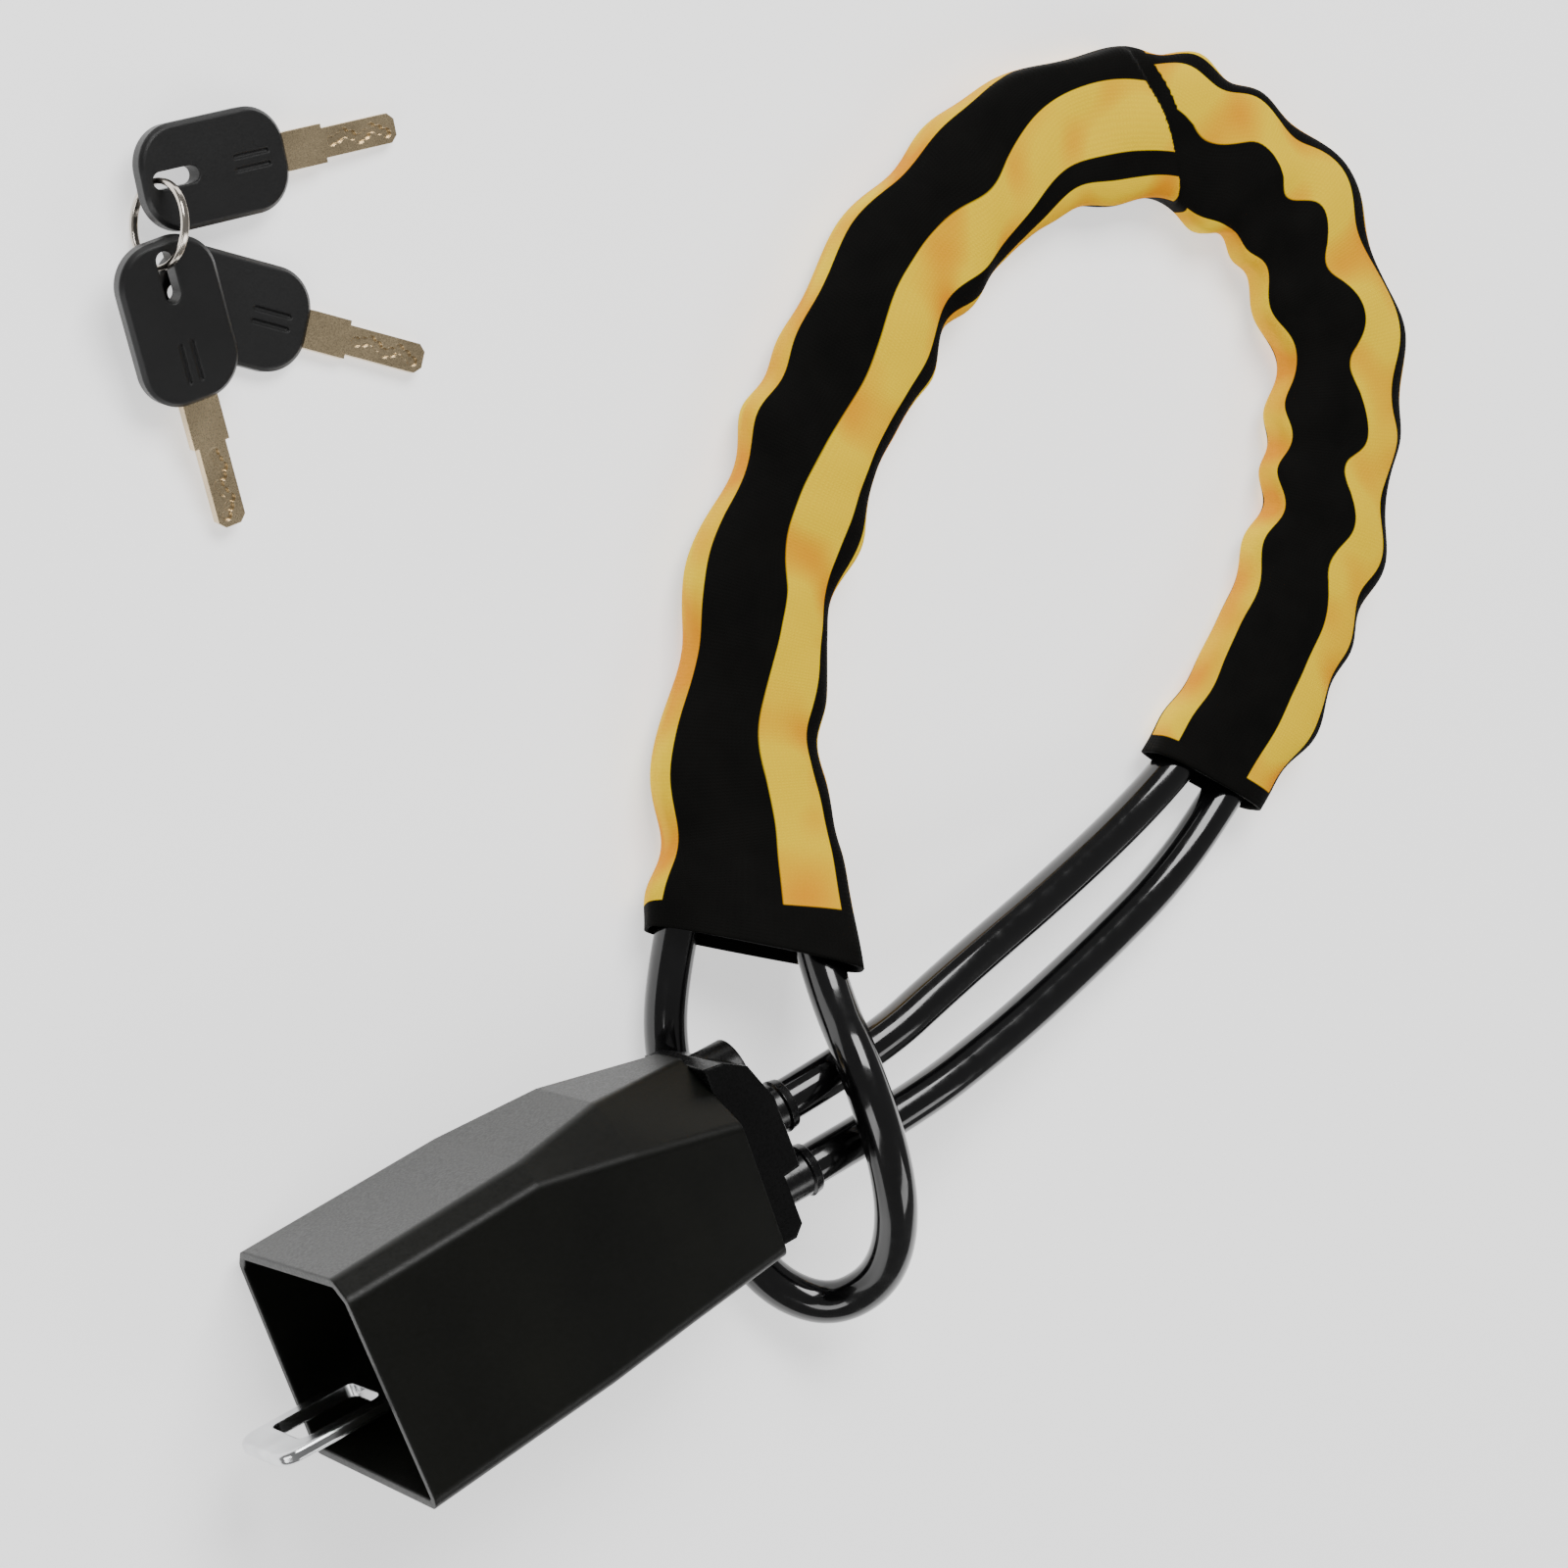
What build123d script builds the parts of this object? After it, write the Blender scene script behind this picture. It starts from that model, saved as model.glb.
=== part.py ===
from build123d import *
import os
from math import cos, radians, sin, tan

# Car anti-theft cable lock: a steel housing with a seat-belt tongue, a folded steel cable that goes round the
# steering wheel, a fabric sleeve on the cable, and three keys. The lock lies on its side on a table.
# Frame: millimetres, +Z up, the table at Z = 0. X runs from the housing's mouth to its cable end. Y runs
# across the housing, towards the cable ring. The origin is on the face that the housing rests on.

# ---- driving dimensions ----
MOUTH_X = -59.0
KNEE_X = -8.0
SWELL_X = 16.0
REAR_X = 43.0
WALL = 2.0
CORNER_R = 3.0
AXIS_Z = 26.5
FIT = 0.05

UPPER_Y = 9.0
LOWER_Y = -7.2
CORE_D = 6.5
JACKET_D = 10.0
FERRULE_D = 10.6
FERRULE_X = (16.0, 37.0)
ANCHOR_X = 20.0
CORE_X = 24.5
JACKET_X = 37.5

BLOCK_X = (-4.0, 38.0)
LOCK_Y = 21.5
LOCK_D = 12.0
PLUG_D = 8.6
LOCK_X = (25.0, 56.5)
DRUM_D = 12.0
DRUM_BORE = 8.4
DRUM_X = (2.0, 21.5)
ROD_D = 8.0
CAM_TURN = 90.0
PUSH_TRAVEL = 8.0
PIN_D = 2.6
PIN_X = 12.5
SLOT_STEP = 5.0

TONGUE_Y = -3.5
TONGUE_T = 3.0
TONGUE_W = 24.0
TONGUE_X = (-80.0, -6.0)
WINDOW_X = (-72.5, -52.0)
WINDOW_W = 16.0

SLEEVE_WALL = 1.2
KEY_T = 4.5
BLADE_T = 2.5

os.makedirs("parts", exist_ok=True)


def save(part, name):
    """Labels a finished piece and writes it as a node."""
    part.label = name
    export_step(part, f"parts/{name}.step")
    print(f"{name}: {len(part.solids())} solids, {part.volume / 1000:.2f} cm3")


def along_x(x, y, z=AXIS_Z):
    """The plane across an axis that runs along X, with its origin on the axis."""
    return Plane(origin=(x, y, z), x_dir=(0, 1, 0), z_dir=(1, 0, 0))


def along_z(x, y, z):
    return Plane(origin=(x, y, z), x_dir=(1, 0, 0), z_dir=(0, 0, 1))


# ---- housing shell: six-sided sections, whose upper shoulders drop towards the cable end ----
SECTIONS = {
    MOUTH_X: ((-19, 0), (-21.5, 61), (28, 56.5), (32.5, 52), (31.5, 4), (27.5, 0)),
    KNEE_X: ((-18, 0), (-19.7, 53.5), (29, 52.5), (33.8, 47), (33.8, 5), (28.5, 0)),
    SWELL_X: ((-16.8, 0), (-17.4, 51.2), (23.8, 51.5), (35.2, 40), (35.2, 12), (24, 0)),
    REAR_X: ((-14.9, 0), (-15.4, 48), (17.5, 49.5), (31.5, 31), (31.5, 20), (17.5, 0)),
}

SHELL_SCREW_X = (11.0, 33.0)
SHELL_SCREW_Y = 1.0

with BuildPart() as shell_void:
    for x, outline in SECTIONS.items():
        with BuildSketch(Plane.YZ.offset(x)):
            Polygon(*outline, align=None)
            fillet(vertices(), CORNER_R)
            offset(amount=-WALL)
    loft(ruled=True)

with BuildPart() as housing_shell:
    for x, outline in SECTIONS.items():
        with BuildSketch(Plane.YZ.offset(x)):
            Polygon(*outline, align=None)
            fillet(vertices(), CORNER_R)
    loft(ruled=True)
    add(shell_void.part, mode=Mode.SUBTRACT)
    for x in SHELL_SCREW_X:
        with Locations(Plane(origin=(x, SHELL_SCREW_Y, 0), x_dir=(1, 0, 0), z_dir=(0, 0, -1))):
            CounterSinkHole(radius=2.05, counter_sink_radius=4.0, depth=WALL + 1)
save(housing_shell.part, "housing_shell")

# ---- lock block: the casting inside that holds the tongue, the cable ends and the lock cylinder ----
BLOCK_OUTLINE = ((-12.4, 2.05), (-12.4, 44), (13, 44), (28.6, 30), (28.6, 22), (14.5, 2.05))
NOSE_X = (-26.0, BLOCK_X[0])
SCREW_POINTS = ((4.5, 37.0), (4.5, 16.5))
RIVET_X = (-20.0, -11.0)
RIVET_R = 2.5

with BuildPart() as lock_block:
    with BuildSketch(Plane.YZ.offset(BLOCK_X[0])):
        Polygon(*BLOCK_OUTLINE, align=None)
        fillet(vertices(), 1.5)
    extrude(amount=BLOCK_X[1] - BLOCK_X[0])
    with BuildSketch(Plane.YZ.offset(NOSE_X[0])):
        with Locations((-3.75, AXIS_Z)):
            RectangleRounded(12.5, 30, 2)
    extrude(amount=NOSE_X[1] - NOSE_X[0])
    with BuildSketch(Plane.YZ.offset(NOSE_X[0])):
        with Locations((TONGUE_Y, AXIS_Z)):
            Rectangle(TONGUE_T + 2 * FIT, TONGUE_W + 2 * FIT)
    extrude(amount=TONGUE_X[1] + FIT - NOSE_X[0], mode=Mode.SUBTRACT)
    for x in RIVET_X:
        with Locations(Plane(origin=(x, 2.5, AXIS_Z), x_dir=(1, 0, 0), z_dir=(0, 1, 0))):
            Hole(radius=RIVET_R + FIT, depth=12.6)
    for y in (UPPER_Y, LOWER_Y):
        with Locations(along_x(BLOCK_X[1], y)):
            Hole(radius=FERRULE_D / 2 + FIT, depth=BLOCK_X[1] - FERRULE_X[0] + FIT)
        with Locations(along_z(ANCHOR_X, y, 44.0)):
            Hole(radius=2.0 + FIT, depth=38.0)
    with Locations(along_x(BLOCK_X[1], LOCK_Y)):
        Hole(radius=LOCK_D / 2 + FIT, depth=BLOCK_X[1] - LOCK_X[0])
    with Locations(along_x(LOCK_X[0], LOCK_Y)):
        Hole(radius=DRUM_D / 2 + 0.3, depth=LOCK_X[0] - DRUM_X[0] + 0.5)
    with Locations(along_x(DRUM_X[0], LOCK_Y)):
        Hole(radius=ROD_D / 2 + FIT, depth=8.0)
    for y, z in SCREW_POINTS:
        with Locations(along_x(BLOCK_X[1], y, z)):
            Hole(radius=1.5 + FIT, depth=14.0)
    for x in SHELL_SCREW_X:
        with Locations(Plane(origin=(x, SHELL_SCREW_Y, 2.05), x_dir=(1, 0, 0), z_dir=(0, 0, -1))):
            Hole(radius=2.0 + FIT, depth=10.0)
save(lock_block.part, "lock_block")

# ---- seat-belt tongue: a steel plate with a latch window, riveted into the block's nose ----
TIP_R = 5.0
with BuildPart() as tongue:
    with BuildSketch(Plane(origin=(0, TONGUE_Y - TONGUE_T / 2, 0), x_dir=(1, 0, 0), z_dir=(0, 1, 0))):
        with Locations(((TONGUE_X[0] + TONGUE_X[1]) / 2, -AXIS_Z)):
            Rectangle(TONGUE_X[1] - TONGUE_X[0], TONGUE_W)
        fillet(vertices().group_by(Axis.X)[0], TIP_R)
        with Locations(((WINDOW_X[0] + WINDOW_X[1]) / 2, -AXIS_Z)):
            RectangleRounded(WINDOW_X[1] - WINDOW_X[0], WINDOW_W, 2, mode=Mode.SUBTRACT)
        with Locations((RIVET_X[0], -AXIS_Z), (RIVET_X[1], -AXIS_Z)):
            Circle(RIVET_R + FIT, mode=Mode.SUBTRACT)
    extrude(amount=TONGUE_T)
    fillet(tongue.edges().filter_by(Axis.Y, reverse=True).group_by(Axis.X)[0], 1.0)
save(tongue.part, "tongue")

with BuildPart() as tongue_rivets:
    for x in RIVET_X:
        with Locations(Plane(origin=(x, -10.0, AXIS_Z), x_dir=(1, 0, 0), z_dir=(0, 1, 0))):
            Cylinder(RIVET_R, 12.5, align=(Align.CENTER, Align.CENTER, Align.MIN))
        with Locations(Plane(origin=(x, -11.05, AXIS_Z), x_dir=(1, 0, 0), z_dir=(0, 1, 0))):
            Cylinder(4.0, 1.05, align=(Align.CENTER, Align.CENTER, Align.MIN))
save(tongue_rivets.part, "tongue_rivets")

# ---- rear cap: closes the shell, with a boss round the lock and two cable openings ----
UPPER_FACE_X = 57.0
LOWER_FACE_X = 52.0
EXITS = ((UPPER_Y, UPPER_FACE_X), (LOWER_Y, LOWER_FACE_X))
SPIGOT_OUTLINE = ((-12.6, 2.6), (-12.6, 45), (15.2, 46.2), (28.7, 30), (28.7, 21), (15.2, 2.6))
CAP_PROFILE = (
    (43, 30), (47.5, 29.3), (53, 26), (55.5, 19), (UPPER_FACE_X, 15.5), (UPPER_FACE_X, -0.4),
    (LOWER_FACE_X, -0.9), (LOWER_FACE_X, -12.6), (49.5, -15), (43, -15),
)
CAP_Z = (13.0, 41.0)
BOSS_D = 15.5
BOSS_X = 56.0
NECK_D = 11.2

with BuildPart() as rear_cap:
    with BuildSketch(Plane.YZ.offset(BLOCK_X[1] + FIT)):
        Polygon(*SPIGOT_OUTLINE, align=None)
        fillet(vertices(), 1.5)
    extrude(amount=REAR_X - BLOCK_X[1] - FIT)
    with BuildSketch(Plane.XY.offset(CAP_Z[0])):
        Polygon(*CAP_PROFILE, align=None)
    extrude(amount=CAP_Z[1] - CAP_Z[0])
    fillet(rear_cap.edges().filter_by(Axis.Y).group_by(Axis.X)[-1], 1.5)
    with Locations(along_x(REAR_X - 2, LOCK_Y)):
        Cylinder(BOSS_D / 2, BOSS_X - REAR_X + 2, align=(Align.CENTER, Align.CENTER, Align.MIN))
    with Locations(along_x(LOCK_X[1] + 9, LOCK_Y)):
        Hole(radius=LOCK_D / 2 + FIT, depth=40)
    with Locations(along_x(LOCK_X[1] + 9, LOCK_Y)):
        Cylinder(BOSS_D / 2, 9.5, align=(Align.CENTER, Align.CENTER, Align.MAX), mode=Mode.SUBTRACT)
    for y, face_x in EXITS:
        with Locations(along_x(face_x, y)):
            Hole(radius=NECK_D / 2 + FIT, depth=30)
    for y, z in SCREW_POINTS:
        with Locations(along_x(UPPER_FACE_X, y, z)):
            CounterBoreHole(radius=1.5 + FIT, counter_bore_radius=2.9, counter_bore_depth=3.4, depth=30)
save(rear_cap.part, "rear_cap")

with BuildPart() as cap_screws:
    for y, z in SCREW_POINTS:
        with Locations(along_x(UPPER_FACE_X - 3.4, y, z)):
            Cylinder(2.75, 3.0, align=(Align.CENTER, Align.CENTER, Align.MIN))
        with Locations(along_x(UPPER_FACE_X - 3.4, y, z)):
            Cylinder(1.5, 29.0, align=(Align.CENTER, Align.CENTER, Align.MAX))
        with BuildSketch(along_x(UPPER_FACE_X - 0.4, y, z)):
            RegularPolygon(1.45, 6)
        extrude(amount=-1.6, mode=Mode.SUBTRACT)
save(cap_screws.part, "cap_screws")

with BuildPart() as shell_screws:
    for x in SHELL_SCREW_X:
        with BuildSketch(Plane.XZ.offset(-SHELL_SCREW_Y)):
            with BuildLine():
                Polyline((x, 0.4), (x + 3.4, 0.4), (x + 1.95, 1.85), (x + 1.95, 11.0), (x, 11.0), close=True)
            make_face()
        revolve(axis=Axis((x, SHELL_SCREW_Y, 0), (0, 0, 1)))
save(shell_screws.part, "shell_screws")

# ---- exit bushings: plastic collars where the two cable runs leave the cap ----
COLLAR_END_X = 65.0
COLLAR_R = 6.3
with BuildPart() as exit_bushings:
    for y, face_x in EXITS:
        inner_y = y + JACKET_D / 2 + FIT
        with BuildSketch(Plane.XY.offset(AXIS_Z)):
            with BuildLine():
                Polyline(
                    (face_x - 8, inner_y),
                    (face_x - 8, y + NECK_D / 2),
                    (face_x + FIT, y + NECK_D / 2),
                    (face_x + FIT, y + COLLAR_R),
                    (face_x + 2.5, y + COLLAR_R),
                    (face_x + 3.2, y + 5.7),
                    (COLLAR_END_X - 2.5, y + 5.7),
                    (COLLAR_END_X - 2, y + COLLAR_R),
                    (COLLAR_END_X, y + COLLAR_R - 0.4),
                    (COLLAR_END_X, inner_y),
                    close=True,
                )
            make_face()
        revolve(axis=Axis((0, y, AXIS_Z), (1, 0, 0)))
save(exit_bushings.part, "exit_bushings")

# ---- cable: one steel rope in a plastic jacket, folded double, from one exit bushing round to the other ----
ROUTE = [
    (20, 9, 26.5),
    (86, 9, 26.5),
    (119, 15.5, 23),
    (155, 20, 16.5),
    (185, 25, 10.5),
    (207, 32, 8),
    (234, 48.5, 7.5),
    (257, 74, 7.5),
    (273, 105.5, 7.5),
    (271.5, 137.5, 7.5),
    (251, 162, 7.5),
    (220, 172, 7.5),
    (187, 163.5, 7.5),
    (156.5, 143.5, 7.5),
    (127, 117.5, 7.5),
    (107, 89, 7.5),
    (97, 60, 10),
    (86, 28, 24),
    (79.5, 11, 40),
    (78, -14, 40),
    (77, -31.5, 31),
    (73, -42, 21.5),
    (64.5, -45, 12.5),
    (56, -37, 7),
    (51, -22, 5.4),
    (49.6, -5, 5.4),
    (49.8, 12, 5.4),
    (52, 29, 5.6),
    (60, 45, 6.6),
    (76, 67, 7.5),
    (93.5, 97, 7.5),
    (117, 127, 7.5),
    (147.5, 154.5, 7.5),
    (181, 176.5, 7.5),
    (220, 186, 7.5),
    (259, 174, 7.5),
    (284.5, 142.5, 7.5),
    (287, 102.5, 7.5),
    (269, 66, 7.5),
    (242.5, 37.5, 7.5),
    (214, 19.5, 8),
    (188, 7, 10.5),
    (158, 1, 16),
    (125, -4, 22),
    (90, -7.2, 26.5),
    (20, -7.2, 26.5),
]


def route_radii(points):
    """The arc at each corner: 0.45 of the shorter run, divided by the tangent of half the turn."""
    spots = [Vector(*p) for p in points]
    radii = []
    for before, corner, after in zip(spots, spots[1:], spots[2:]):
        turn = (corner - before).get_angle(after - corner)
        shorter = min((corner - before).length, (after - corner).length)
        radii.append(0.45 * shorter / tan(radians(turn / 2)))
    return radii


def trimmed(points, start_x):
    """The same route with its two straight ends cut back to one plane inside the block."""
    first, last = points[0], points[-1]
    return [(start_x, *first[1:]), *points[1:-1], (start_x, *last[1:])]


RADII = route_radii(trimmed(ROUTE, 30.0))
print("cable radii:", [round(r) for r in RADII])

with BuildPart() as cable_core:
    with BuildLine():
        core_line = FilletPolyline(*trimmed(ROUTE, CORE_X), radius=RADII)
    with BuildSketch(along_x(CORE_X, UPPER_Y)):
        Circle(CORE_D / 2 - FIT)
    sweep()
save(cable_core.part, "cable_core")

with BuildPart() as cable_jacket:
    with BuildLine():
        jacket_line = FilletPolyline(*trimmed(ROUTE, JACKET_X), radius=RADII)
    with BuildSketch(along_x(JACKET_X, UPPER_Y)):
        Circle(JACKET_D / 2)
        Circle(CORE_D / 2, mode=Mode.SUBTRACT)
    sweep()
save(cable_jacket.part, "cable_jacket")
print(f"cable length {jacket_line.length:.0f} mm, jacket {cable_jacket.part.volume / 1000:.2f} cm3,"
      f" section times length {(JACKET_D**2 - CORE_D**2) * 0.7854 * jacket_line.length / 1000:.2f} cm3")

with BuildPart() as cable_ferrules:
    for y in (UPPER_Y, LOWER_Y):
        with Locations(along_x(FERRULE_X[0] + 0.2, y)):
            Cylinder(FERRULE_D / 2, FERRULE_X[1] - FERRULE_X[0] - 0.2, align=(Align.CENTER, Align.CENTER, Align.MIN))
        with Locations(along_x(FERRULE_X[1], y)):
            Hole(radius=CORE_D / 2, depth=FERRULE_X[1] - CORE_X + 0.2)
        with Locations(along_z(ANCHOR_X, y, AXIS_Z + FERRULE_D)):
            Hole(radius=2.0 + FIT, depth=2 * FERRULE_D)
save(cable_ferrules.part, "cable_ferrules")

with BuildPart() as anchor_pins:
    for y in (UPPER_Y, LOWER_Y):
        with Locations(along_z(ANCHOR_X, y, 8.0)):
            Cylinder(2.0, 35.0, align=(Align.CENTER, Align.CENTER, Align.MIN))
save(anchor_pins.part, "anchor_pins")

# ---- lock cylinder: body, plug, wafers and clip, all on one axis along X ----
WAFER_X = (31.0, 35.0, 39.0, 43.0, 47.0, 51.0)
WAFER_T = 1.4
WAFER_Y = (1.5, 3.1)
WAFER_H = 5.4
WAFER_TRAVEL = 0.5
KEYWAY_X = 29.0
TAIL_X = (19.0, 23.0)
CLIP_X = (23.9, 24.5)
SCREW_END_X = 27.0

with BuildPart() as cylinder_body:
    with Locations(along_x(LOCK_X[0], LOCK_Y)):
        Cylinder(LOCK_D / 2, LOCK_X[1] - LOCK_X[0], align=(Align.CENTER, Align.CENTER, Align.MIN))
    with Locations(along_x(LOCK_X[1], LOCK_Y)):
        Hole(radius=PLUG_D / 2 + FIT, depth=LOCK_X[1] - LOCK_X[0])
    for quarter in (0, 90):
        for x in WAFER_X:
            groove = Plane(origin=(x, LOCK_Y, AXIS_Z), x_dir=(1, 0, 0), z_dir=(0, 0, 1)).rotated((quarter, 0, 0))
            with Locations(groove):
                with Locations((0, (WAFER_Y[0] + WAFER_Y[1]) / 2, 2.0)):
                    Box(WAFER_T + 0.4, 2.2, 3.4, mode=Mode.SUBTRACT)
save(cylinder_body.part, "cylinder_body")

with BuildPart() as plug:
    with Locations(along_x(TAIL_X[1], LOCK_Y)):
        Cylinder(PLUG_D / 2, LOCK_X[1] - TAIL_X[1] - 0.3, align=(Align.CENTER, Align.CENTER, Align.MIN))
    with BuildSketch(along_x(TAIL_X[0], LOCK_Y)):
        Rectangle(5, 5)
    extrude(amount=TAIL_X[1] - TAIL_X[0])
    with BuildSketch(along_x(CLIP_X[0] - FIT, LOCK_Y)):
        Circle(PLUG_D)
        Circle(3.4, mode=Mode.SUBTRACT)
    extrude(amount=CLIP_X[1] - CLIP_X[0] + 2 * FIT, mode=Mode.SUBTRACT)
    with BuildSketch(along_x(KEYWAY_X, LOCK_Y)):
        Rectangle(BLADE_T + 0.2, 6.7)
    extrude(amount=LOCK_X[1] - KEYWAY_X, mode=Mode.SUBTRACT)
    with BuildSketch(along_x(LOCK_X[1] - 1.5, LOCK_Y)):
        Rectangle(BLADE_T + 1.2, 7.6)
    extrude(amount=2, mode=Mode.SUBTRACT)
    with Locations(along_x(TAIL_X[0], LOCK_Y).rotated((0, 180, 0))):
        Hole(radius=1.25, depth=SCREW_END_X - TAIL_X[0])
    for x in WAFER_X:
        with Locations((x, LOCK_Y + (WAFER_Y[0] + WAFER_Y[1]) / 2, AXIS_Z)):
            Box(WAFER_T + 0.1, WAFER_Y[1] - WAFER_Y[0] + 0.2, PLUG_D, mode=Mode.SUBTRACT)
save(plug.part, "plug")

with BuildPart() as wafers:
    for x in WAFER_X:
        with Locations((x, LOCK_Y + (WAFER_Y[0] + WAFER_Y[1]) / 2, AXIS_Z)):
            Box(WAFER_T, WAFER_Y[1] - WAFER_Y[0], WAFER_H)
save(wafers.part, "wafers")

with BuildPart() as plug_clip:
    with BuildSketch(along_x(CLIP_X[0], LOCK_Y)):
        Circle(5.4)
        Circle(3.45, mode=Mode.SUBTRACT)
        with Locations((0, 5)):
            Rectangle(4.4, 8, mode=Mode.SUBTRACT)
    extrude(amount=CLIP_X[1] - CLIP_X[0])
save(plug_clip.part, "plug_clip")

# ---- barrel cam: a drum with a helical slot that turns the key's quarter turn into the pusher's travel ----
DRUM_BASE_X = 17.5
with BuildPart() as barrel_cam:
    with Locations(along_x(DRUM_X[0], LOCK_Y)):
        Cylinder(DRUM_D / 2, DRUM_X[1] - DRUM_X[0], align=(Align.CENTER, Align.CENTER, Align.MIN))
    with Locations(along_x(DRUM_X[0], LOCK_Y)):
        Cylinder(DRUM_BORE / 2, DRUM_BASE_X - DRUM_X[0], align=(Align.CENTER, Align.CENTER, Align.MIN),
                 mode=Mode.SUBTRACT)
    with BuildSketch(along_x(TAIL_X[0], LOCK_Y)):
        Rectangle(5.1, 5.1)
    extrude(amount=DRUM_X[1] - TAIL_X[0], mode=Mode.SUBTRACT)
    with Locations(along_x(TAIL_X[0], LOCK_Y)):
        Hole(radius=1.4, depth=3)
    for step in range(int(CAM_TURN / SLOT_STEP) + 1):
        turned = step * SLOT_STEP
        spot = (PIN_X - PUSH_TRAVEL * turned / CAM_TURN, LOCK_Y, AXIS_Z)
        across = (0, sin(radians(turned)), cos(radians(turned)))
        with Locations(Plane(origin=spot, x_dir=(1, 0, 0), z_dir=across)):
            Cylinder(PIN_D / 2 + 0.2, 2 * DRUM_D, mode=Mode.SUBTRACT)
save(barrel_cam.part, "barrel_cam")

with BuildPart() as cam_screw:
    with Locations(along_x(DRUM_BASE_X - FIT, LOCK_Y)):
        Cylinder(2.4, 1.3, align=(Align.CENTER, Align.CENTER, Align.MAX))
        Cylinder(1.2, SCREW_END_X - DRUM_BASE_X - 0.2, align=(Align.CENTER, Align.CENTER, Align.MIN))
save(cam_screw.part, "cam_screw")

# ---- pusher: slides out of the block over the tongue, against the buckle's release button ----
FOOT_X = (-38.0, -16.0)
PLATE_X = (-16.0, -10.0)
ROD_END_X = 15.5
with BuildPart() as pusher:
    with Locations(along_x(PLATE_X[1] - 1, LOCK_Y)):
        Cylinder(ROD_D / 2, ROD_END_X - PLATE_X[1] + 1, align=(Align.CENTER, Align.CENTER, Align.MIN))
    with Locations(Plane(origin=(PIN_X, LOCK_Y, AXIS_Z))):
        Cylinder(PIN_D / 2 + 0.02, 2 * ROD_D, mode=Mode.SUBTRACT)
    with BuildSketch(Plane.YZ.offset(PLATE_X[0])):
        with Locations((15.75, AXIS_Z)):
            RectangleRounded(23.5, 22, 3)
    extrude(amount=PLATE_X[1] - PLATE_X[0])
    with BuildSketch(Plane.YZ.offset(FOOT_X[0])):
        with Locations((8.5, AXIS_Z)):
            RectangleRounded(9, 20, 1.5)
    extrude(amount=FOOT_X[1] - FOOT_X[0])
save(pusher.part, "pusher")

with BuildPart() as pusher_pin:
    with Locations((PIN_X, LOCK_Y, AXIS_Z)):
        Cylinder(PIN_D / 2, DRUM_D - 0.4)
save(pusher_pin.part, "pusher_pin")

with BuildPart() as pusher_pad:
    with BuildSketch(Plane.YZ.offset(FOOT_X[0] - FIT)):
        with Locations((8.5, AXIS_Z)):
            RectangleRounded(8, 19, 1.2)
    extrude(amount=-3)
save(pusher_pad.part, "pusher_pad")

# ---- fabric sleeve: a flat tube over the doubled cable, wide and tilted at the end beside the housing ----
SLEEVE_STATIONS = [
    # centre, half width, half thickness, the width's direction
    ((205, 23, 8.6), 17.0, 7.3, (0.65, -0.76, 0)),
    ((238, 43, 7.6), 17.5, 6.8, (0.65, -0.76, 0)),
    ((263, 70, 7.5), 17.5, 6.8, (0.82, -0.57, 0)),
    ((280, 104, 7.5), 17.5, 6.8, (0.98, -0.2, 0)),
    ((278, 140, 7.5), 17.5, 6.8, (0.93, 0.37, 0)),
    ((255, 168, 7.5), 17.5, 6.8, (0.56, 0.83, 0)),
    ((220, 179, 7.5), 17.5, 6.8, (0.03, 1, 0)),
    ((184, 170, 7.5), 17.5, 6.8, (-0.4, 0.92, 0)),
    ((152, 149, 7.5), 17.5, 6.8, (-0.61, 0.79, 0)),
    ((122, 122, 7.5), 17.5, 6.8, (-0.74, 0.68, 0)),
    ((100, 93, 7.5), 18.5, 6.9, (-0.86, 0.51, 0)),
    ((86.5, 63, 9.6), 21.5, 7.6, (-0.94, 0.31, -0.11)),
    ((76, 41, 16.9), 25.5, 8.8, (-0.74, 0.52, -0.42)),
]
SLEEVE_CUT = 4.5


def sleeve_outline(half_width, half_thick, cut):
    """Eight corners of a flat section: a rectangle with its corners cut off."""
    w, t = half_width, half_thick
    return [
        (w, cut - t), (w, t - cut), (w - cut, t), (cut - w, t),
        (-w, t - cut), (-w, cut - t), (cut - w, -t), (w - cut, -t),
    ]


def sleeve_sections(inset):
    """The sleeve's section at each station, inset all round."""
    sections = []
    for centre, half_width, half_thick, across in SLEEVE_STATIONS:
        side = Vector(*across).normalized()
        ahead = Vector(0, 0, 1).cross(side).normalized()
        with BuildSketch(Plane(origin=centre, x_dir=side, z_dir=ahead)) as section:
            Polygon(*sleeve_outline(half_width - inset, half_thick - inset, SLEEVE_CUT - inset / 2), align=None)
        sections.append(section.sketch.face())
    return sections


with BuildPart() as sleeve:
    loft(sections=sleeve_sections(0), ruled=True)
    loft(sections=sleeve_sections(SLEEVE_WALL), ruled=True, mode=Mode.SUBTRACT)
save(sleeve.part, "sleeve")

# ---- keys: three alike, lying beside the lock on one split ring ----
HEAD_X = (-8.0, 28.0)
HEAD_W = 23.0
HEAD_CORNER = 9.0
SHANK_X = 38.0
TIP_X = 56.5
KEYS = {
    # the slot's centre, heading and downward pitch towards the tip, in degrees
    1: ((15.5, 251.0, 8.0), -10.0, 6.7),
    2: ((11.4, 225.6, 2.35), -36.2, 0.0),
    3: ((4.6, 233.0, 11.2), -93.2, 8.4),
}
RING_CENTRE = (8.2, 243.3, 10.2)
RING_R = 9.2
RING_LEAN = 13.0
RING_HEADING = 67.0

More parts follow.
